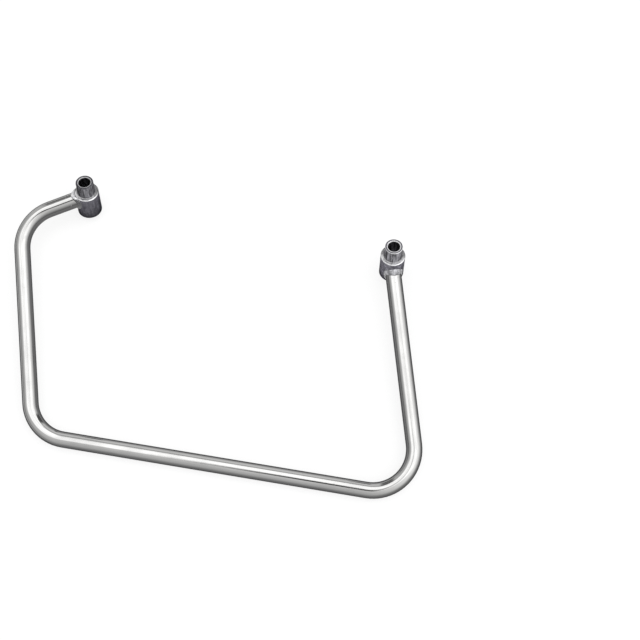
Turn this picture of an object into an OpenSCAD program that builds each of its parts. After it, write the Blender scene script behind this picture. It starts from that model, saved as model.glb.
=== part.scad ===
// Pannier frame for a motorbike: a flat loop of bent tube with a stepped mounting sleeve
// welded to each end. It lies on the floor on its bottom bar and its front sleeve.
// X runs from the front of the bike to the rear, Y from the bottom bar to the sleeves.

/* [Tube] */
// Outside diameter of the tube
tube_od = 16; // [14:0.5:18]
// Wall thickness of the tube
tube_wall = 2; // [1:0.1:3]
// Radius of the three bends, on the tube's centreline
bend_radius = 40; // [32:1:48]

/* [Loop] */
// Bottom bar, from corner to corner of the centreline
bottom_length = 385.5; // [300:0.5:450]
// Front leg, from corner to corner of the centreline
front_leg_length = 218; // [160:1:280]
// Front arm, from its corner to the axis of the front sleeve
front_arm_length = 71.5; // [62:0.5:110]
// Rear leg, from its corner to the axis of the rear sleeve
rear_leg_length = 233; // [190:1:290]
// Angle that the tube turns through between the bottom bar and the front leg
front_foot_turn = 75.3; // [65:0.1:85]
// Angle that the tube turns through between the front leg and the front arm
front_top_turn = 74.9; // [65:0.1:85]
// Angle that the tube turns through between the bottom bar and the rear leg
rear_foot_turn = 105.7; // [95:0.1:115]

/* [Sleeves] */
// Outside diameter of a sleeve's body, which the tube is welded to
body_od = 24.4; // [22:0.1:30]
// Outside diameter of a sleeve's neck, which sits against the mudguard stay
neck_od = 17.6; // [15:0.1:20]
// Length of a sleeve's neck
neck_length = 15; // [8:0.1:25]
// Diameter of the bolt hole right through a sleeve
bore_d = 12; // [8:0.5:13]
// Angle of the sleeves to the loop, which makes the loop splay away from the wheel
splay = 22; // [10:0.5:25]
// Body left above and below the tubes, where the two of them reach furthest along a sleeve
body_margin = 1; // [1:0.1:4]
// Chamfer on the two edges of a sleeve's body
body_chamfer = 0.7; // [0.3:0.1:0.9]
// Chamfer on the outer edge of a sleeve's neck
neck_chamfer = 0.6; // [0.2:0.1:1.2]
// Chamfer on both mouths of a sleeve's bolt hole
bore_chamfer = 0.4; // [0.2:0.1:1.2]
// Radius in the corner between the body and the neck of a sleeve
neck_fillet = 0.8; // [0.3:0.1:1.2]

/* [Welds] */
// Leg of the weld bead, along the tube and along the sleeve
weld_leg = 3; // [2.5:0.1:5]
// Height of the bead's face above the straight line between its toes
weld_crown = 0.5; // [0.3:0.1:1]
// Height of the ripples along the bead
ripple_height = 0.15; // [0:0.05:0.3]
// Number of ripples round each bead
ripple_count = 20; // [12:1:24]

/* [Hidden] */
$fn = 96;

CHROME = [0.62, 0.63, 0.64];
DARK_CHROME = [0.3, 0.3, 0.34];
WELD_CHROME = [0.58, 0.58, 0.6];

tube_r = tube_od / 2;
body_r = body_od / 2;
neck_r = neck_od / 2;
bore_r = bore_d / 2;

// How far the skin of a bend is drawn in from the skin of the straights, outside and inside
bend_draw = 0.01;
// Room between a bead and the two surfaces that it is laid on
weld_gap = 0.05;
// Rings of points round a bead for each ripple, and steps across its bed and its face
rings_per_ripple = 4;
bed_steps = 4;
face_steps = 4;

function unit(v) = v / norm(v);
// Direction in the loop's plane, as an angle from the X axis
function heading(angle) = [cos(angle), sin(angle), 0];
// Length that a bend takes from each of the two straights it joins
function setback(turn) = bend_radius * tan(turn / 2);

// Corners of the centreline in the loop's own plane, from the front foot at the origin
front_leg_angle = 180 - front_foot_turn;
front_arm_angle = front_leg_angle - front_top_turn;
front_top = front_leg_length * heading(front_leg_angle);
front_joint = front_top + front_arm_length * heading(front_arm_angle);
rear_foot = [bottom_length, 0, 0];
rear_joint = rear_foot + rear_leg_length * heading(rear_foot_turn);

// Directions in which the tube leaves the two sleeves
front_away = front_arm_angle + 180;
rear_away = rear_foot_turn + 180;
// How far such a tube slopes down from square to its sleeve, and where it points round it
function dip(away) = -asin(sin(away) * sin(splay));
function bearing(away) = atan2(sin(away) * cos(splay), cos(away));

// Point where a line on a tube meets the sleeve's body, for tube radius rt and body radius rb.
// phi is the line's place round the tube, with 90 at its top.
// The tube's axis crosses the sleeve's axis at the origin, and Z is the sleeve's axis.
function saddle(phi, slope, rt, rb) =
    let (
        y = rt * cos(phi),
        x = sqrt(rb ^ 2 - y ^ 2),
        along = (x - rt * sin(phi) * sin(slope)) / cos(slope)
    )
    [x, y, rt * sin(phi) * cos(slope) - along * sin(slope)];
function saddle_top(away) = saddle(90, dip(away), tube_r, body_r).z;
function saddle_bottom(away) = saddle(-90, dip(away), tube_r, body_r).z;

// The sleeves are parallel and their neck faces lie in one plane, so the rear tube meets its
// sleeve lower down. The body is just long enough for both.
sleeve_axis = [0, sin(splay), cos(splay)];
joint_offset = sleeve_axis * (front_joint - rear_joint);
front_depth = neck_length + body_margin
    + max(saddle_top(front_away), saddle_top(rear_away) - joint_offset);
rear_depth = front_depth + joint_offset;
sleeve_length = body_margin
    + max(front_depth - saddle_bottom(front_away), rear_depth - saddle_bottom(rear_away));
body_length = sleeve_length - neck_length;

// Tilt at which the bottom bar and the lower rim of the front sleeve both touch the floor
front_below = sleeve_length - front_depth;
rim_r = body_r - body_chamfer;
rim_y = front_joint.y - front_below * sin(splay) + rim_r * cos(splay);
rim_drop = front_below * cos(splay) + rim_r * sin(splay);
rest_tilt = atan2(rim_drop, rim_y) - asin(tube_r / norm([rim_y, rim_drop]));
lean = splay - rest_tilt;

// Extent of the part as it lies
front_bend_centre = front_top - setback(front_top_turn) * heading(front_leg_angle)
    + bend_radius * heading(front_leg_angle - 90);
low_x = front_bend_centre.x - bend_radius - tube_r;
high_x = bottom_length - setback(rear_foot_turn) + bend_radius + tube_r;
function sleeve_reach(joint, depth) = joint.y * cos(rest_tilt) + max(
    (depth - neck_chamfer) * sin(lean) + neck_r * cos(lean),
    (depth - neck_length - body_chamfer) * sin(lean) + body_r * cos(lean)
);
low_y = -tube_r;
high_y = max(
    sleeve_reach(front_joint, front_depth),
    sleeve_reach(rear_joint, rear_depth)
);

// Lays the loop down with the origin on the floor under its middle
module lay_down() {
    translate([-(low_x + high_x) / 2, -(low_y + high_y) / 2, tube_r])
        rotate([rest_tilt, 0, 0])
            children();
}

// Stands its children at the lower end of a sleeve, with Z up the sleeve's axis
module at_sleeve(joint, depth) {
    translate(joint)
        rotate([-splay, 0, 0])
            translate([0, 0, depth - sleeve_length])
                children();
}

module tube_section(draw = 0) {
    difference() {
        circle(r = tube_r - draw);
        circle(r = tube_r - tube_wall + draw);
    }
}

// A straight stretch along X, with its children at its far end
module straight(length) {
    rotate([-90, 0, -90])
        linear_extrude(length)
            tube_section();
    translate([length, 0, 0])
        children();
}

// A bend to the left with its children at its far end. It is half a ring, cut off square.
module bend(turn) {
    reach = bend_radius + tube_od;
    translate([0, bend_radius, 0]) {
        difference() {
            rotate_extrude(angle = 180, start = -90)
                translate([bend_radius, 0])
                    tube_section(bend_draw);
            rotate([0, 0, turn])
                translate([0, -reach, -reach])
                    cube(2 * reach);
        }
        rotate([0, 0, turn])
            translate([0, -bend_radius, 0])
                children();
    }
}

// The bent tube, from the axis of the front sleeve to the axis of the rear one
module bent_tube() {
    arm = front_arm_length - setback(front_top_turn);
    front_leg = front_leg_length - setback(front_top_turn) - setback(front_foot_turn);
    bottom = bottom_length - setback(front_foot_turn) - setback(rear_foot_turn);
    rear_leg = rear_leg_length - setback(rear_foot_turn);
    translate(front_joint)
        rotate([0, 0, front_away])
            straight(arm) bend(front_top_turn)
                straight(front_leg) bend(front_foot_turn)
                    straight(bottom) bend(rear_foot_turn)
                        straight(rear_leg);
}

// Half section of a sleeve, with the bolt hole and its chamfers left open
module sleeve_section() {
    difference() {
        polygon([
            [bore_r + bore_chamfer, 0],
            [body_r - body_chamfer, 0],
            [body_r, body_chamfer],
            [body_r, body_length - body_chamfer],
            [body_r - body_chamfer, body_length],
            [neck_r + neck_fillet, body_length],
            [neck_r, body_length + neck_fillet],
            [neck_r, sleeve_length - neck_chamfer],
            [neck_r - neck_chamfer, sleeve_length],
            [bore_r + bore_chamfer, sleeve_length],
            [bore_r, sleeve_length - bore_chamfer],
            [bore_r, bore_chamfer]
        ]);
        translate([neck_r + neck_fillet, body_length + neck_fillet])
            circle(r = neck_fillet);
    }
}

module sleeve(joint, depth) {
    at_sleeve(joint, depth)
        rotate_extrude()
            sleeve_section();
}

// What a sleeve's body takes from the end of the tube, so that the tube sits on it
module cope(joint, depth) {
    at_sleeve(joint, depth)
        translate([0, 0, -body_od])
            cylinder(r = body_r, h = sleeve_length + 2 * body_od);
}

// Points round the bead's section at angle phi round the tube: its bed on the sleeve from the
// root to the toe, its face back to the tube, and its toe there. The bead stays between the
// heights low and high, and low is negative.
function bead_ring(phi, slope, low, high) =
    let (
        bed_r = body_r + weld_gap,
        root = saddle(phi, slope, tube_r + weld_gap, bed_r),
        place = atan2(root.y, root.x),
        from_tube = [sin(phi) * sin(slope), cos(phi), sin(phi) * cos(slope)],
        spread = unit([from_tube * [-sin(place), cos(place), 0], from_tube.z]),
        room = (spread.y > 0 ? high - root.z : root.z - low) / abs(spread.y),
        leg = min(weld_leg, room),
        bed = [for (i = [0 : bed_steps])
            let (
                step = leg * i / bed_steps,
                at = place + step * spread.x / bed_r * 180 / PI
            )
            [bed_r * cos(at), bed_r * sin(at), root.z + step * spread.y]],
        sleeve_toe = bed[bed_steps],
        tube_toe = root + weld_leg * [cos(slope), 0, -sin(slope)],
        out = unit((sleeve_toe + tube_toe) / 2 - root),
        crown = weld_crown + ripple_height * cos(phi * ripple_count),
        face = [for (i = [1 : face_steps])
            let (t = i / face_steps)
            (1 - t) * sleeve_toe + t * tube_toe + 4 * t * (1 - t) * crown * out]
    )
    concat(bed, face);

// The bead round the tube that leaves a sleeve in the direction away
module weld(joint, depth, away) {
    count = rings_per_ripple * ripple_count;
    low = depth - sleeve_length + body_chamfer;
    high = depth - neck_length - body_chamfer;
    rings = [for (k = [0 : count - 1]) bead_ring(360 * k / count, dip(away), low, high)];
    width = len(rings[0]);
    faces = [for (k = [0 : count - 1], i = [0 : width - 1])
        let (
            next_k = (k + 1) % count * width,
            next_i = (i + 1) % width
        )
        each [
            [k * width + i, next_k + i, next_k + next_i],
            [k * width + i, next_k + next_i, k * width + next_i]
        ]];
    at_sleeve(joint, depth)
        translate([0, 0, sleeve_length - depth])
            rotate([0, 0, bearing(away)])
                polyhedron([for (ring = rings) each ring], faces);
}

module loop_tube() {
    color(CHROME)
        lay_down()
            difference() {
                bent_tube();
                cope(front_joint, front_depth);
                cope(rear_joint, rear_depth);
            }
}

module front_sleeve() {
    color(DARK_CHROME)
        lay_down()
            sleeve(front_joint, front_depth);
}

module rear_sleeve() {
    color(DARK_CHROME)
        lay_down()
            sleeve(rear_joint, rear_depth);
}

module front_weld() {
    color(WELD_CHROME)
        lay_down()
            weld(front_joint, front_depth, front_away);
}

module rear_weld() {
    color(WELD_CHROME)
        lay_down()
            weld(rear_joint, rear_depth, rear_away);
}

loop_tube();
front_sleeve();
rear_sleeve();
front_weld();
rear_weld();
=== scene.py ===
"""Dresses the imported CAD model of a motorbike's pannier frame: chrome on the bent tube, turned
sleeves, rippled weld beads with spatter, and a pale studio. Run as a script, it makes the scene."""

import math
import random

import bmesh
import bpy
from bpy.props import FloatProperty, FloatVectorProperty, IntProperty, PointerProperty
from mathutils import Matrix, Vector, noise


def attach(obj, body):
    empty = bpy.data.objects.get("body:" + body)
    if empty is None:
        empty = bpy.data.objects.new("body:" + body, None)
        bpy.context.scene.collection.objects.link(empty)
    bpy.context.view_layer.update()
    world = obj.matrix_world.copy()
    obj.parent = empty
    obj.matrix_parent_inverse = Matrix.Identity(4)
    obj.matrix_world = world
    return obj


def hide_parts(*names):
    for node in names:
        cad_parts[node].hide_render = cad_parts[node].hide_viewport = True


bl_info = {
    "name": "Pannier frame",
    "version": (1, 0, 0),
    "blender": (4, 5, 0),
    "location": "View3D > Sidebar > Pannier frame",
    "description": "Finishes the tube, sleeves and weld beads of a pannier frame",
    "category": "Object",
}

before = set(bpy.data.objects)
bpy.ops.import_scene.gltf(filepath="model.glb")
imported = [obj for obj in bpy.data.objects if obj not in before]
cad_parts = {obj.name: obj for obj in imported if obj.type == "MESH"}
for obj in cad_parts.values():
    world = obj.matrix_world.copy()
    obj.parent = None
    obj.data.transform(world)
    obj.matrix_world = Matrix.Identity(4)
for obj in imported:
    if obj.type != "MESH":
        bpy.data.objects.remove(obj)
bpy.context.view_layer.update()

MM = 0.001

# The loop and its sleeves, as in the part's source, in millimetres and degrees
TUBE_R = 8.0
BODY_R = 12.2
BODY_CHAMFER = 0.7
NECK_R = 8.8
NECK_LENGTH = 15.0
SLEEVE_LENGTH = 44.4003
SPLAY = 22.0
REST_TILT = 3.9612
SLEEVE_LEAN = math.radians(REST_TILT - SPLAY)


class Joint:
    """Where the tube meets a sleeve. The joint's own axes start where the axes of the two cross,
    with Z up the sleeve, and are in millimetres.

    Centre is that crossing in the row frame, heading is where the tube points in the loop's plane,
    in degrees, and depth is how far the crossing lies below the neck's end. The sleeve's side light,
    lip and edge are painted light: how light the sleeve's sides are painted, lighter on the rear
    sleeve than on the front, and how strong the painted highlights on the inner and outer edge of its
    neck's end are. The weld's light, heap and side shade say how light the weld is painted, a painted
    highlight on the front one, how far it is heaped up on top of the tube, and how dark its sides are
    painted, a painted shade."""

    def __init__(self, name, centre, heading, depth, painted_sleeve_light, lip, edge, painted_weld_light, heap, weld_side_shade):
        self.name = name
        self.centre = Vector(centre)
        self.heading = math.radians(heading)
        self.depth = depth
        self.painted_sleeve_light = painted_sleeve_light
        self.lip = lip
        self.edge = edge
        self.painted_weld_light = painted_weld_light
        self.heap = heap
        self.weld_side_shade = weld_side_shade

    def bottom(self):
        """Height of the sleeve's lower end."""
        return self.depth - SLEEVE_LENGTH

    def shoulder(self):
        """Height of the step from the sleeve's body to its neck."""
        return self.depth - NECK_LENGTH

    def dip(self):
        """How far the tube slopes down from square to its sleeve."""
        return -math.asin(math.sin(self.heading) * math.sin(math.radians(SPLAY)))

    def bearing(self):
        """Where the tube points round its sleeve."""
        splay = math.radians(SPLAY)
        return math.atan2(math.sin(self.heading) * math.cos(splay), math.cos(self.heading))

    def down_tube(self):
        """Direction along the tube, away from the sleeve, with the tube turned to bearing 0."""
        slope = self.dip()
        return Vector((math.cos(slope), 0, -math.sin(slope)))

    def off_tube(self, phi):
        """Direction square to the tube's skin at angle phi round it, with the tube at bearing 0."""
        slope = self.dip()
        return Vector((math.sin(phi) * math.sin(slope), math.cos(phi), math.sin(phi) * math.cos(slope)))

    def matrix(self):
        """From the joint's own axes to the row frame."""
        return (
            Matrix.Translation(self.centre * MM)
            @ Matrix.Rotation(SLEEVE_LEAN, 4, "X")
            @ Matrix.Scale(MM, 4)
        )


# Apart from the heap, the last values of each joint paint light and shade: each sleeve's painted
# lightness, its painted highlights, its weld's painted lightness and the painted shade on the weld's
# sides
JOINTS = (
    Joint(
        "front", centre=(-155.2, 119.434, 25.0214), heading=209.8, depth=21.8307,
        painted_sleeve_light=0.66, lip=0.5, edge=0.05, painted_weld_light=1.9, heap=1.6, weld_side_shade=0.97,
    ),
    Joint(
        "rear", centre=(160.524, 97.3958, 23.4953), heading=285.7, depth=30.106,
        painted_sleeve_light=0.98, lip=0.8, edge=0.8, painted_weld_light=1.0, heap=0.4, weld_side_shade=0.5,
    ),
)


class PlatingSettings(bpy.types.PropertyGroup):
    """Colours and smoothness of the chrome."""

    tube_colour: FloatVectorProperty(
        name="Tube", description="Colour of the polished chrome on the tube",
        subtype="COLOR", size=3, min=0, max=1, default=(0.577, 0.575, 0.568),
    )
    sleeve_colour: FloatVectorProperty(
        name="Sleeve sides", description="Colour of the duller chrome on the sleeves' round sides",
        subtype="COLOR", size=3, min=0, max=1, default=(0.19, 0.186, 0.212),
    )
    # Painted highlight: most of the faces are painted dull, and this colour shows in full in their
    # painted highlight rings
    face_colour: FloatVectorProperty(
        name="Sleeve faces", description="Colour of the sleeves' turned faces and chamfers",
        subtype="COLOR", size=3, min=0, max=1, default=(0.95, 0.95, 0.96),
    )
    weld_colour: FloatVectorProperty(
        name="Weld", description="Colour of the chrome on the weld beads",
        subtype="COLOR", size=3, min=0, max=1, default=(0.5, 0.5, 0.52),
    )
    # Painted shade: the share of a dark reflection painted on the tube's sides and underside
    painted_side_shade: FloatProperty(
        name="Painted side shade", description="Share of a dark film on the tube's sides and underside",
        subtype="FACTOR", min=0, max=1, default=0.84,
    )
    edge_tint: FloatProperty(
        name="Edge reflection",
        description="Share of the light that tube and sleeves reflect near their outlines",
        subtype="FACTOR", min=0, max=1, default=0.3,
    )
    tube_roughness: FloatProperty(
        name="Tube roughness", description="Roughness of the tube's polish",
        subtype="FACTOR", min=0, max=1, default=0.09,
    )
    sleeve_roughness: FloatProperty(
        name="Sleeve roughness", description="Roughness of the sleeves' plating",
        subtype="FACTOR", min=0, max=1, default=0.4,
    )


class WeldSettings(bpy.types.PropertyGroup):
    """Sizes of the weld beads, in millimetres."""

    leg: FloatProperty(
        name="Leg", description="Reach of a bead along the tube and along the sleeve",
        min=1, max=4, default=2.3,
    )
    crown: FloatProperty(
        name="Crown", description="Height of a bead's face above the line between its toes",
        min=0, max=1.5, default=0.45,
    )
    sink: FloatProperty(
        name="Sink", description="How far a bead's toes are sunk into the metal",
        min=0, max=0.2, default=0.05,
    )
    ripples: IntProperty(
        name="Ripples", description="Number of ripples round a bead", min=10, max=60, default=34,
    )
    ripple_height: FloatProperty(
        name="Ripple height", description="Height of the ripples", min=0, max=0.4, default=0.07,
    )
    spatter: IntProperty(
        name="Spatter", description="Number of beads of spatter beside each weld",
        min=0, max=30, default=7,
    )
    rings: IntProperty(
        name="Rings", description="Sections round each bead", min=60, max=720, default=360,
    )
    steps: IntProperty(
        name="Steps", description="Steps across each bead's face", min=4, max=24, default=12,
    )


class StudioSettings(bpy.types.PropertyGroup):
    """Ground, light and camera."""

    ground_colour: FloatProperty(
        name="Ground", description="Share of the studio's light that the white ground sends back",
        subtype="FACTOR", min=0, max=1, default=0.25,
    )
    softbox_strength: FloatProperty(
        name="Softbox", description="Brightness of the soft light overhead", min=0, default=2.2,
    )
    lens: FloatProperty(
        name="Lens", description="Focal length of the camera in millimetres", min=20, default=73.125,
    )


def new_material(name, slot_colour):
    """A material with an empty node tree but for its output and shader."""
    material = bpy.data.materials.new(name)
    material.use_nodes = True
    material.diffuse_color = (*slot_colour, 1)
    tree = material.node_tree
    tree.nodes.clear()
    output = tree.nodes.new("ShaderNodeOutputMaterial")
    shader = tree.nodes.new("ShaderNodeBsdfPrincipled")
    tree.links.new(shader.outputs["BSDF"], output.inputs["Surface"])
    return material, tree, shader


def feed(tree, socket, value):
    """Links a socket to the output that feeds it, or sets its value. A colour comes without alpha."""
    if isinstance(value, bpy.types.NodeSocket):
        tree.links.new(value, socket)
    elif socket.type == "RGBA":
        socket.default_value = (*value, 1)
    else:
        socket.default_value = value


def add(tree, kind, inputs, **settings):
    """A node with its inputs and settings."""
    node = tree.nodes.new("ShaderNode" + kind)
    for key, value in settings.items():
        setattr(node, key, value)
    for key, value in inputs.items():
        feed(tree, node.inputs[key], value)
    return node


def maths(tree, operation, *values, clamp=False):
    """A math node's result."""
    node = tree.nodes.new("ShaderNodeMath")
    node.operation = operation
    node.use_clamp = clamp
    for socket, value in zip(node.inputs, values):
        feed(tree, socket, value)
    return node.outputs[0]


def product(tree, first, *others):
    """Numbers multiplied together."""
    for other in others:
        first = maths(tree, "MULTIPLY", first, other)
    return first


def squares(tree, x, y):
    """The sum of two numbers' squares."""
    return maths(tree, "ADD", product(tree, x, x), product(tree, y, y))


def remap(tree, value, low, high, to_low=0.0, to_high=1.0):
    """The value moved smoothly from one range to another, and kept inside it."""
    node = add(
        tree, "MapRange",
        {"Value": value, "From Min": low, "From Max": high, "To Min": to_low, "To Max": to_high},
        interpolation_type="SMOOTHSTEP",
    )
    return node.outputs["Result"]


def band(tree, place, start, end, to_low=0.0, to_high=1.0):
    """As remap, for a place in metres and a range in millimetres."""
    return remap(tree, place, start * MM, end * MM, to_low, to_high)


def blend(tree, share, first, second):
    """Two colours mixed."""
    node = tree.nodes.new("ShaderNodeMix")
    node.data_type = "RGBA"
    for place, value in ((0, share), (6, first), (7, second)):
        feed(tree, node.inputs[place], value)
    return node.outputs[2]


def between(tree, share, first, second):
    """Two numbers mixed."""
    node = tree.nodes.new("ShaderNodeMix")
    for place, value in ((0, share), (2, first), (3, second)):
        feed(tree, node.inputs[place], value)
    return node.outputs[0]


def shaded(colour, factor):
    """A colour made darker or lighter."""
    return tuple(min(1.0, factor * c) for c in colour)


def mottle(tree, place, scale, detail, roughness=0.5):
    """A pattern from 0 to 1, with so many spots to the metre."""
    inputs = {"Vector": place, "Scale": scale, "Detail": detail, "Roughness": roughness}
    return add(tree, "TexNoise", inputs).outputs["Fac"]


def bumps(tree, strength, *layers):
    """A normal from several heights, each a (height, depth in millimetres)."""
    normal = None
    for height, depth in layers:
        node = add(tree, "Bump", {"Height": height, "Distance": depth * MM, "Strength": strength})
        if normal:
            tree.links.new(normal, node.inputs["Normal"])
        normal = node.outputs["Normal"]
    return normal


def own_place(tree):
    """A point's place in the row frame, in metres."""
    return tree.nodes.new("ShaderNodeTexCoord").outputs["Object"]


def surface_normal(tree):
    """The direction square to the surface."""
    return tree.nodes.new("ShaderNodeNewGeometry").outputs["Normal"]


def facing_up(tree):
    """How far the surface faces up: 1 on top, 0 on a side and -1 underneath."""
    return add(tree, "SeparateXYZ", {"Vector": surface_normal(tree)}).outputs["Z"]


def plate(tree, shader, tone, roughness, normal, edge_tint=1.0):
    """Makes a shader chrome, with its tone, roughness and normal fed by nodes."""
    for name, value in (("Base Color", tone), ("Roughness", roughness), ("Normal", normal)):
        tree.links.new(value, shader.inputs[name])
    shader.inputs["Metallic"].default_value = 1.0
    shader.inputs["Specular Tint"].default_value = (edge_tint, edge_tint, edge_tint, 1)


# The tube's painted shade, a dark reflection painted on its sides and underside: its colour, how far up
# a surface faces where it fades out, how uneven that edge is, and where and to what share it thins out
# on the underside
PAINTED_SHADE_COLOUR = (0.05, 0.05, 0.052)
PAINTED_SHADE_EDGE = (0.55, 0.92)
PAINTED_SHADE_UNEVENNESS = 0.15
UNDERSIDE = (-0.15, 0.2)
UNDERSIDE_SHARE = 0.6


def painted_shade_share(tree, plating, cloud):
    """Share of the painted shade, a dark reflection painted where the surface faces sideways: none on
    top, most on the sides and less underneath.
    """
    up = facing_up(tree)
    uneven = product(tree, maths(tree, "SUBTRACT", cloud, 0.5), PAINTED_SHADE_UNEVENNESS)
    painted_shade = remap(tree, maths(tree, "ADD", up, uneven), *PAINTED_SHADE_EDGE, plating.painted_side_shade, 0.0)
    return product(tree, painted_shade, remap(tree, up, *UNDERSIDE, UNDERSIDE_SHARE, 1.0))


def chrome_on_tube(plating):
    """Bright chrome over a drawn tube: long polishing waves, fine grain, dull clouds, a few specks
    and painted shade, a dark reflection painted on its sides and underside."""
    colour = tuple(plating.tube_colour)
    material, tree, shader = new_material("tube_chrome", colour)
    place = own_place(tree)
    waves = mottle(tree, place, 90.0, 2.0)
    grain = mottle(tree, place, 900.0, 3.0)
    cloud = mottle(tree, place, 35.0, 4.0)
    dots = add(tree, "TexVoronoi", {"Vector": place, "Scale": 160.0, "Randomness": 1.0})
    speck = remap(tree, dots.outputs["Distance"], 0.03, 0.06, 1.0, 0.0)
    tone = blend(tree, remap(tree, cloud, 0.35, 0.7), colour, shaded(colour, 0.86))
    tone = blend(tree, speck, tone, shaded(colour, 0.35))
    # Painted shade: the tube's sides and underside are painted dark, as a dark reflection
    tone = blend(tree, painted_shade_share(tree, plating, cloud), tone, PAINTED_SHADE_COLOUR)
    rough = plating.tube_roughness
    roughness = remap(tree, cloud, 0.3, 0.75, 0.7 * rough, 1.6 * rough)
    normal = bumps(tree, 0.35, (waves, 0.12), (grain, 0.004))
    plate(tree, shader, tone, roughness, normal, plating.edge_tint)
    return material


# Pitch of the tool rings round a sleeve, in millimetres, and how much its streaks are drawn out
RING_PITCH = 0.4
STREAK_STRETCH = 0.12
# Heights on a sleeve, in millimetres: where the darker foot ends and where the paler upper body
# starts above its lower end, where the neck's tone comes in above the shoulder, and where the faces
# of the lower end stop and those of the neck's end start
FOOT = 12.0
UPPER_BODY = 16.0
NECK_START = (0.2, 0.6)
LOWER_FACES = (2.0, 4.0)
END_FACES = (2.0, 4.0)
# Rings of painted highlight on the turned faces, in millimetres in from the body's or the neck's
# outside: the shoulder's bright rim, and the lip and the edge of the neck's end. The rim fades toward +Y
# past the axis
RIM = (3.5, 2.0)
LIP = (2.0, 1.5)
EDGE = (0.7, 0.3)
RIM_FADE = (-6.0, 2.0)
RIM_LEFT = 0.1


def side_tone(tree, joint, sides, z, streak, blotch):
    """Tone of a sleeve's round sides: streaked and flecked, dark at the foot, with a greyer neck."""
    bottom = joint.bottom()
    shoulder = joint.shoulder()
    tone = blend(tree, streak, shaded(sides, 1.05), shaded(sides, 0.58))
    upper = band(tree, z, bottom + UPPER_BODY, shoulder, 0.0, 0.4)
    tone = blend(tree, upper, tone, shaded(sides, 1.8))
    fleck = product(tree, remap(tree, blotch, 0.5, 0.64), joint.painted_sleeve_light - 0.3)
    tone = blend(tree, fleck, tone, shaded(sides, 2.4))
    foot = band(tree, z, bottom, bottom + FOOT, 1.0, 0.0)
    tone = blend(tree, foot, tone, shaded(sides, 0.35))
    grey = sum(sides) / 3
    neck = tuple((c + grey) / 2 for c in sides)
    neck_tone = blend(tree, streak, shaded(neck, 2.3), shaded(neck, 0.5))
    on_neck = band(tree, z, shoulder + NECK_START[0], shoulder + NECK_START[1])
    return blend(tree, on_neck, tone, neck_tone)


def face_tone(tree, joint, sides, faces, own, streak, blotch):
    """Tone of a sleeve's turned faces: streaked and dull, with painted highlights: a bright rim round
    the shoulder and a bright lip and edge on the neck's end."""
    x, y, z = own
    bottom = joint.bottom()
    shoulder = joint.shoulder()
    dark = shaded(sides, 0.5)
    on_end = band(tree, z, shoulder + END_FACES[0], shoulder + END_FACES[1])
    dull = blend(
        tree, on_end, blend(tree, streak, shaded(faces, 0.3), dark), blend(tree, streak, sides, dark),
    )
    radius = maths(tree, "SQRT", squares(tree, x, y))
    # Painted highlight: the shoulder's bright rim, strongest on the -Y side and fading toward +Y
    rim = product(
        tree, band(tree, radius, BODY_R - RIM[0], BODY_R - RIM[1]),
        remap(tree, blotch, 0.3, 0.5, 0.7, 1.0), band(tree, y, *RIM_FADE, 1.0, RIM_LEFT),
    )
    # Painted highlights on the lip and the edge of the neck's end, as strong as the joint says
    lip = band(tree, radius, NECK_R - LIP[0], NECK_R - LIP[1], joint.lip, 0.0)
    edge = band(tree, radius, NECK_R - EDGE[0], NECK_R - EDGE[1], 0.0, joint.edge)
    painted_highlights = between(tree, on_end, rim, maths(tree, "ADD", lip, edge))
    above_foot = band(tree, z, bottom + LOWER_FACES[0], bottom + LOWER_FACES[1])
    return blend(tree, product(tree, painted_highlights, above_foot), dull, faces)


def turned_chrome(plating, joint):
    """Chrome over a turned sleeve: dull streaked sides with tool rings, their lightness painted for each
    sleeve, and turned faces with painted highlights.
    """
    colour = tuple(plating.sleeve_colour)
    material, tree, shader = new_material(joint.name + "_sleeve_chrome", colour)
    in_joint = add(
        tree, "Mapping",
        {"Vector": own_place(tree), "Location": joint.centre * MM, "Rotation": (SLEEVE_LEAN, 0, 0)},
        vector_type="TEXTURE",
    ).outputs["Vector"]
    split = add(tree, "SeparateXYZ", {"Vector": in_joint})
    x, y, z = (split.outputs[i] for i in range(3))
    drawn_out = add(tree, "CombineXYZ", {"X": x, "Y": y, "Z": product(tree, z, STREAK_STRETCH)})
    streaks = mottle(tree, drawn_out.outputs[0], 520.0, 3.0, 0.6)
    streak = remap(tree, streaks, 0.36, 0.62)
    blotch = mottle(tree, in_joint, 420.0, 5.0, 0.65)
    rings = maths(tree, "SINE", product(tree, z, 2 * math.pi / (RING_PITCH * MM)))
    axis = (0, -math.sin(SLEEVE_LEAN), math.cos(SLEEVE_LEAN))
    square_on = add(
        tree, "VectorMath", {0: surface_normal(tree), 1: axis}, operation="DOT_PRODUCT",
    ).outputs["Value"]
    on_face = remap(tree, maths(tree, "ABSOLUTE", square_on), 0.3, 0.6)
    # Painted light: each sleeve's sides are painted lighter or darker, the rear one lighter than the
    # front
    sides = shaded(colour, joint.painted_sleeve_light)
    tone = blend(
        tree, on_face, side_tone(tree, joint, sides, z, streak, blotch),
        face_tone(tree, joint, sides, tuple(plating.face_colour), (x, y, z), streak, blotch),
    )
    rough = plating.sleeve_roughness
    roughness = remap(tree, blotch, 0.3, 0.7, 0.8 * rough, 1.3 * rough)
    normal = bumps(tree, 0.5, (rings, 0.006), (blotch, 0.08), (streaks, 0.12))
    plate(tree, shader, tone, roughness, normal, plating.edge_tint)
    return material


# How far up a weld faces where the painted shade on its sides starts to thin and where it ends
GRIME_EDGE = (0.5, 0.93)


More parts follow.
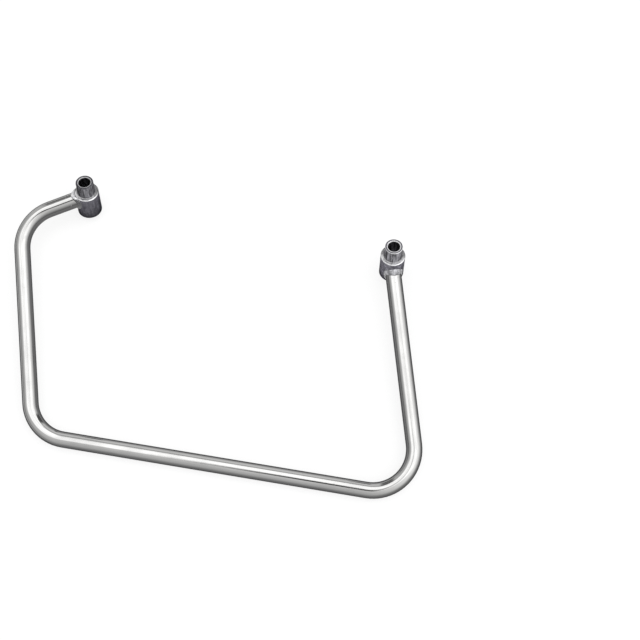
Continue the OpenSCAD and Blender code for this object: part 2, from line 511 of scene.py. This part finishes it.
def weld_chrome(plating, joint):
    """Chrome over a weld bead, clouded, with scale on it, its colour painted lighter on the front weld
    as a painted highlight, and painted shade on its sides.
    """
    # Painted light: the weld's colour is scaled for each joint, the front one nearly twice as light, a
    # painted highlight
    colour = shaded(plating.weld_colour, joint.painted_weld_light)
    material, tree, shader = new_material(joint.name + "_weld_chrome", colour)
    place = own_place(tree)
    scale = mottle(tree, place, 900.0, 4.0)
    cloud = mottle(tree, place, 320.0, 2.0)
    light = remap(tree, cloud, 0.38, 0.62)
    tone = blend(tree, light, shaded(colour, 0.75), shaded(colour, 1.5))
    # Painted shade: the weld is painted darker where it faces sideways or down
    weld_side_shade = remap(tree, facing_up(tree), *GRIME_EDGE, joint.weld_side_shade, 0.0)
    tone = blend(tree, weld_side_shade, tone, shaded(colour, 0.1))
    roughness = remap(tree, scale, 0.3, 0.7, 0.12, 0.3)
    plate(tree, shader, tone, roughness, bumps(tree, 0.5, (scale, 0.12)))
    return material


# A bead's legs vary round it by this share, as fast as the next value says, and are longer by
# another share on top of the tube
WANDER = 0.18
WANDER_PACE = 2.4
TOP_REACH = 0.7
# Share of the crown on a bead's sides and underside, and how far each ripple bows, in radians of its
# own wave
SIDE_CROWN = 0.3
RIPPLE_BOW = 1.6
# In millimetres: the bead's distance from the sleeve's shoulder, and how deep its root is buried
SHOULDER_GAP = 0.15
ROOT_DEPTH = 0.4


def bead_section(joint, weld, phi):
    """Points across the bead at angle phi round the tube, from its toe on the sleeve to its toe
    on the tube, and last the point buried in the corner under it."""
    slope = joint.dip()
    y = TUBE_R * math.cos(phi)
    x = math.sqrt(BODY_R**2 - y**2)
    along = (x - TUBE_R * math.sin(phi) * math.sin(slope)) / math.cos(slope)
    root = Vector((x, y, TUBE_R * math.sin(phi) * math.cos(slope) - along * math.sin(slope)))
    place = math.atan2(y, x)
    off_tube = joint.off_tube(phi)
    round_sleeve = Vector((-math.sin(place), math.cos(place), 0))
    spread = Vector((off_tube.dot(round_sleeve), off_tube.z)).normalized()
    low = joint.bottom() + BODY_CHAMFER
    high = joint.shoulder() - SHOULDER_GAP
    room = (high - root.z if spread.y > 0 else root.z - low) / max(abs(spread.y), 1e-6)
    pace = (WANDER_PACE * math.cos(phi), WANDER_PACE * math.sin(phi), joint.depth)
    wander = noise.noise(Vector(pace))
    top = max(0.0, math.sin(phi)) ** 2
    leg = weld.leg * (1 + WANDER * wander + TOP_REACH * top)
    on_sleeve = min(leg, room)
    at = place + on_sleeve * spread.x / BODY_R
    held = BODY_R - weld.sink
    sleeve_toe = Vector((held * math.cos(at), held * math.sin(at), root.z + on_sleeve * spread.y))
    tube_toe = root + leg * joint.down_tube() - weld.sink * off_tube
    out = ((sleeve_toe + tube_toe) / 2 - root).normalized()
    points = []
    for i in range(weld.steps + 1):
        t = i / weld.steps
        arch = 4 * t * (1 - t)
        ripple = math.cos(weld.ripples * phi + RIPPLE_BOW * arch)
        height = weld.crown * (SIDE_CROWN + joint.heap * top) + weld.ripple_height * ripple
        points.append(sleeve_toe.lerp(tube_toe, t) + arch * height * out)
    points.append(root - ROOT_DEPTH * out)
    return points


# Spatter: where it lies on the tube's upper half, as shares of it, how far past the weld and how big
# its beads are in millimetres, and how flat and how deeply sunk they are
SPATTER_SPAN = (0.1, 0.9)
SPATTER_REACH = (0.6, 7.0)
SPATTER_RADIUS = (0.2, 0.42)
SPATTER_FLATNESS = 0.6
SPATTER_SINK = 0.1


def add_spatter(work, joint, weld):
    """Beads of spatter on the tube beside a weld."""
    chance = random.Random(joint.name)
    squash = Matrix.Diagonal((1.0, 1.0, SPATTER_FLATNESS, 1.0))
    for _ in range(weld.spatter):
        off_tube = joint.off_tube(chance.uniform(*SPATTER_SPAN) * math.pi)
        start = BODY_R + weld.leg + chance.uniform(*SPATTER_REACH)
        place = start * joint.down_tube() + TUBE_R * off_tube
        size = chance.uniform(*SPATTER_RADIUS)
        turn = off_tube.to_track_quat("Z", "Y").to_matrix().to_4x4()
        sunk = Matrix.Translation(place - SPATTER_SINK * size * off_tube)
        bmesh.ops.create_icosphere(work, subdivisions=2, radius=size, matrix=sunk @ turn @ squash)


def bead(joint, weld, material):
    """A weld bead round the end of a tube, with a few beads of spatter beside it."""
    mesh = bpy.data.meshes.new(joint.name + "_bead")
    work = bmesh.new()
    rings = [
        [work.verts.new(point) for point in bead_section(joint, weld, 2 * math.pi * k / weld.rings)]
        for k in range(weld.rings)
    ]
    for k, ring in enumerate(rings):
        after = rings[(k + 1) % weld.rings]
        for i in range(len(ring)):
            j = (i + 1) % len(ring)
            work.faces.new((ring[i], after[i], after[j], ring[j]))
    add_spatter(work, joint, weld)
    work.transform(joint.matrix() @ Matrix.Rotation(joint.bearing(), 4, "Z"))
    bmesh.ops.recalc_face_normals(work, faces=work.faces)
    work.to_mesh(mesh)
    work.free()
    mesh.shade_smooth()
    mesh.materials.append(material)
    piece = bpy.data.objects.new(joint.name + "_bead", mesh)
    bpy.context.scene.collection.objects.link(piece)
    return piece


def finish_node(node, material):
    """Gives a CAD node's slots one material."""
    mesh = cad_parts[node].data
    if not mesh.materials:
        mesh.materials.append(material)
    for i in range(len(mesh.materials)):
        mesh.materials[i] = material


class PANNIER_OT_tube(bpy.types.Operator):
    """Chromes the bent tube"""

    bl_idname = "pannier.tube"
    bl_label = "Chrome the tube"

    def execute(self, context):
        finish_node("loop_tube", chrome_on_tube(context.scene.pannier_plating))
        return {"FINISHED"}


class PANNIER_OT_sleeves(bpy.types.Operator):
    """Finishes the two turned sleeves"""

    bl_idname = "pannier.sleeves"
    bl_label = "Finish the sleeves"

    def execute(self, context):
        for joint in JOINTS:
            finish_node(joint.name + "_sleeve", turned_chrome(context.scene.pannier_plating, joint))
        return {"FINISHED"}


class PANNIER_OT_welds(bpy.types.Operator):
    """Lays the two rippled weld beads and their spatter"""

    bl_idname = "pannier.welds"
    bl_label = "Lay the welds"

    def execute(self, context):
        for joint in JOINTS:
            material = weld_chrome(context.scene.pannier_plating, joint)
            piece = bead(joint, context.scene.pannier_weld, material)
            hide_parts(joint.name + "_weld")
            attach(piece, "root")
        return {"FINISHED"}


# Greys of the studio's walls by angle from straight up, on each side of it
WALLS = {
    "rear": ((0, 0.5), (40, 0.66), (60, 0.66), (80, 0.55), (96, 0.42)),
    "front": ((0, 0.36), (48, 0.34), (68, 0.28), (87, 0.14), (96, 0.12)),
    "far": ((0, 0.24), (46, 0.22), (58, 0.34), (70, 0.47), (90, 0.48)),
    "near": ((0, 0.45), (20, 0.42), (36, 0.37), (52, 0.32), (66, 0.35), (96, 0.38)),
}
# Dark flags that stand round the frame, as (bearing in degrees, half width, share of the grey kept)
FLAGS = ((56, 10, 0.15), (122, 10, 0.25))
FLAG_FADE = (0.6, 1.4)
# Sides of the soft light, in a plane one unit above the frame, as (place, half width of its fade).
# The corner is cut off square to the bearing that follows, in degrees
SOFTBOX = {
    "front": (-0.85, 0.42),
    "rear": (1.06, 0.26),
    "near": (-0.26, 0.1),
    "far": (0.92, 0.05),
    "corner": (0.85, 0.05),
}
CORNER_BEARING = 122
# Brightness of the soft light's cloth, and the directions' heights between which it fades in
CLOTH = 0.85
HORIZON = (0.05, 0.1)
# Seams across the cloth, as (place, half width, share of its light kept) along X and along Y
SEAMS_X = ((-0.3, 0.05, 0.8), (0.12, 0.05, 0.76))
SEAMS_Y = ((0.55, 0.04, 0.82), (0.12, 0.03, 0.85))
SEAM_FADE = (0.3, 1.7)
# Dark slot along the near edge of the soft light: its place and half width, how far the edge comes
# in there, where it starts and ends along X, how dark it is, and the heights between which it fades in
SLOT_PLACE = -0.18
SLOT_HALF = 0.15
SLOT_FADE = (0.6, 1.8)
SLOT_COME_IN = 0.08
SLOT_START = (-0.22, -0.06)
SLOT_END = (0.0, 0.1)
SLOT_DARKNESS = 0.97
SLOT_RISE = (0.3, 0.5)


def grade(tree, value, stops):
    """A grey from stops of (angle in degrees, brightness), read at a share of half a turn."""
    ramp = tree.nodes.new("ShaderNodeValToRGB")
    ramp.color_ramp.interpolation = "EASE"
    while len(ramp.color_ramp.elements) < len(stops):
        ramp.color_ramp.elements.new(0.5)
    for element, (angle, grey) in zip(ramp.color_ramp.elements, stops):
        element.position = angle / 180
        element.color = (grey, grey, grey, 1)
    tree.links.new(value, ramp.inputs["Fac"])
    return ramp.outputs["Color"]


def stripe(tree, place, middle, half, fade, on_it, beside):
    """One value on a stripe and another beside it. It changes between two shares of the half
    width, which the fade gives."""
    off = maths(tree, "ABSOLUTE", maths(tree, "SUBTRACT", place, middle))
    return remap(tree, off, fade[0] * half, fade[1] * half, on_it, beside)


def studio_walls(tree, x, y, z):
    """Brightness of the grey walls in a direction, with the flags before them."""
    angle = maths(tree, "DIVIDE", maths(tree, "ARCCOSINE", z), math.pi)
    flat = maths(tree, "MAXIMUM", squares(tree, x, y), 1e-6)
    walls = None
    for side, (part, sign) in {"rear": (x, 1), "front": (x, -1), "far": (y, 1), "near": (y, -1)}.items():
        toward = maths(tree, "MAXIMUM", product(tree, part, sign), 0.0)
        share = maths(tree, "DIVIDE", product(tree, toward, toward), flat)
        grey = product(tree, share, grade(tree, angle, WALLS[side]))
        walls = grey if walls is None else maths(tree, "ADD", walls, grey)
    bearing = maths(tree, "ARCTAN2", y, x)
    for middle, half, kept in FLAGS:
        flag = stripe(tree, bearing, math.radians(middle), math.radians(half), FLAG_FADE, kept, 1.0)
        walls = product(tree, walls, flag)
    return walls


def softbox_share(tree, z, u, v, by_slot):
    """Whether a direction meets the soft light, with soft edges. The point where it meets the
    light's plane is at u and v."""
    corner = math.radians(CORNER_BEARING)
    toward_corner = maths(
        tree, "ADD", product(tree, u, math.cos(corner)), product(tree, v, math.sin(corner)),
    )
    from_near = maths(tree, "SUBTRACT", v, product(tree, by_slot, SLOT_COME_IN))
    places = {"front": u, "rear": u, "near": from_near, "far": v, "corner": toward_corner}
    share = remap(tree, z, *HORIZON)
    for side, place in places.items():
        edge, fade = SOFTBOX[side]
        ends = (0.0, 1.0) if edge < 0 else (1.0, 0.0)
        share = product(tree, share, remap(tree, place, edge - fade, edge + fade, *ends))
    return share


def softbox_cloth(tree, u, v):
    """Brightness of the soft light's cloth, which its seams darken."""
    cloth = CLOTH
    for place, seams in ((u, SEAMS_X), (v, SEAMS_Y)):
        for middle, half, kept in seams:
            cloth = product(tree, stripe(tree, place, middle, half, SEAM_FADE, kept, 1.0), cloth)
    return cloth


def studio_sky(studio):
    """The world: one soft light overhead with a slot beside it, and grey walls."""
    world = bpy.data.worlds.new("studio_sky")
    bpy.context.scene.world = world
    world.use_nodes = True
    tree = world.node_tree
    tree.nodes.clear()
    output = tree.nodes.new("ShaderNodeOutputWorld")
    direction = tree.nodes.new("ShaderNodeTexCoord").outputs["Generated"]
    split = add(tree, "SeparateXYZ", {"Vector": direction})
    x, y, z = (split.outputs[i] for i in range(3))
    height = maths(tree, "MAXIMUM", z, 0.02)
    u = maths(tree, "DIVIDE", x, height)
    v = maths(tree, "DIVIDE", y, height)
    by_slot = product(tree, remap(tree, u, *SLOT_START), remap(tree, u, *SLOT_END, 1.0, 0.0))
    inside = softbox_share(tree, z, u, v, by_slot)
    light = between(tree, inside, studio_walls(tree, x, y, z), softbox_cloth(tree, u, v))
    slot = stripe(tree, v, SLOT_PLACE, SLOT_HALF, SLOT_FADE, SLOT_DARKNESS, 0.0)
    slot = product(tree, slot, by_slot, remap(tree, z, *SLOT_RISE))
    light = product(tree, light, maths(tree, "SUBTRACT", 1.0, slot))
    background = tree.nodes.new("ShaderNodeBackground")
    tree.links.new(light, background.inputs["Color"])
    background.inputs["Strength"].default_value = studio.softbox_strength
    tree.links.new(background.outputs[0], output.inputs["Surface"])


# Half the ground's width in metres, and the brightness at which it is shown, just past white
GROUND_HALF = 60.0
SHOWN_WHITE = 1.02


def white_ground(studio):
    """Ground that takes the frame's shadow and is white where nothing shades it."""
    material, tree, shader = new_material("white_ground", (1, 1, 1))
    ground = studio.ground_colour
    shader.inputs["Base Color"].default_value = (ground, ground, ground, 1)
    shader.inputs["Roughness"].default_value = 1.0
    shader.inputs["Specular IOR Level"].default_value = 0.0
    seen = tree.nodes.new("ShaderNodeLightPath").outputs
    shown = maths(tree, "ADD", seen["Is Camera Ray"], seen["Is Glossy Ray"], clamp=True)
    shown = maths(tree, "ADD", shown, seen["Is Transmission Ray"], clamp=True)
    brightness = product(tree, shown, SHOWN_WHITE - ground)
    glow = add(tree, "Emission", {"Color": (1, 1, 1), "Strength": brightness})
    both = add(tree, "AddShader", {0: shader.outputs[0], 1: glow.outputs[0]})
    tree.links.new(both.outputs[0], tree.nodes["Material Output"].inputs["Surface"])
    return material


def lay_ground(studio):
    """The square of ground that the frame lies on."""
    mesh = bpy.data.meshes.new("ground")
    half = GROUND_HALF
    corners = [(-half, -half, 0), (half, -half, 0), (half, half, 0), (-half, half, 0)]
    mesh.from_pydata(corners, [], [(0, 1, 2, 3)])
    mesh.materials.append(white_ground(studio))
    ground = bpy.data.objects.new("ground", mesh)
    bpy.context.scene.collection.objects.link(ground)


# The camera's place in metres, its turns about X, Y and Z in degrees, its sensor's width in
# millimetres and the nearest distance that it shows in metres
CAMERA_PLACE = (0.193359, -0.263718, 1.265848)
CAMERA_TURNS = (13.766166, 2.002691, 9.642932)
CAMERA_SENSOR = 36
CAMERA_NEAREST = 0.01


def set_camera(studio):
    """The camera, above the frame and looking down on it."""
    camera = bpy.data.objects.new("camera", bpy.data.cameras.new("camera"))
    camera.data.lens = studio.lens
    camera.data.sensor_width = CAMERA_SENSOR
    camera.data.clip_start = CAMERA_NEAREST
    camera.location = CAMERA_PLACE
    camera.rotation_euler = [math.radians(turn) for turn in CAMERA_TURNS]
    bpy.context.scene.collection.objects.link(camera)
    bpy.context.scene.camera = camera


class PANNIER_OT_studio(bpy.types.Operator):
    """Sets the ground, the soft light and the camera"""

    bl_idname = "pannier.studio"
    bl_label = "Set up the studio"

    def execute(self, context):
        studio = context.scene.pannier_studio
        lay_ground(studio)
        studio_sky(studio)
        set_camera(studio)
        context.scene.view_settings.view_transform = "Standard"
        return {"FINISHED"}


class PANNIER_PT_panel(bpy.types.Panel):
    """The finishing steps, in order"""

    bl_idname = "PANNIER_PT_panel"
    bl_label = "Pannier frame"
    bl_space_type = "VIEW_3D"
    bl_region_type = "UI"
    bl_category = "Pannier frame"

    def draw(self, context):
        scene = context.scene
        for settings in (scene.pannier_plating, scene.pannier_weld, scene.pannier_studio):
            box = self.layout.box()
            for name in settings.bl_rna.properties.keys():
                if name not in ("rna_type", "name"):
                    box.prop(settings, name)
        for step in STEPS:
            self.layout.operator(step.bl_idname)


STEPS = (PANNIER_OT_tube, PANNIER_OT_sleeves, PANNIER_OT_welds, PANNIER_OT_studio)
CLASSES = (PlatingSettings, WeldSettings, StudioSettings, *STEPS, PANNIER_PT_panel)


def register():
    for cls in CLASSES:
        bpy.utils.register_class(cls)
    bpy.types.Scene.pannier_plating = PointerProperty(type=PlatingSettings)
    bpy.types.Scene.pannier_weld = PointerProperty(type=WeldSettings)
    bpy.types.Scene.pannier_studio = PointerProperty(type=StudioSettings)


def unregister():
    del bpy.types.Scene.pannier_studio
    del bpy.types.Scene.pannier_weld
    del bpy.types.Scene.pannier_plating
    for cls in reversed(CLASSES):
        bpy.utils.unregister_class(cls)


def main():
    register()
    bpy.ops.pannier.tube()
    bpy.ops.pannier.sleeves()
    bpy.ops.pannier.welds()
    bpy.ops.pannier.studio()


if __name__ == "__main__":
    main()
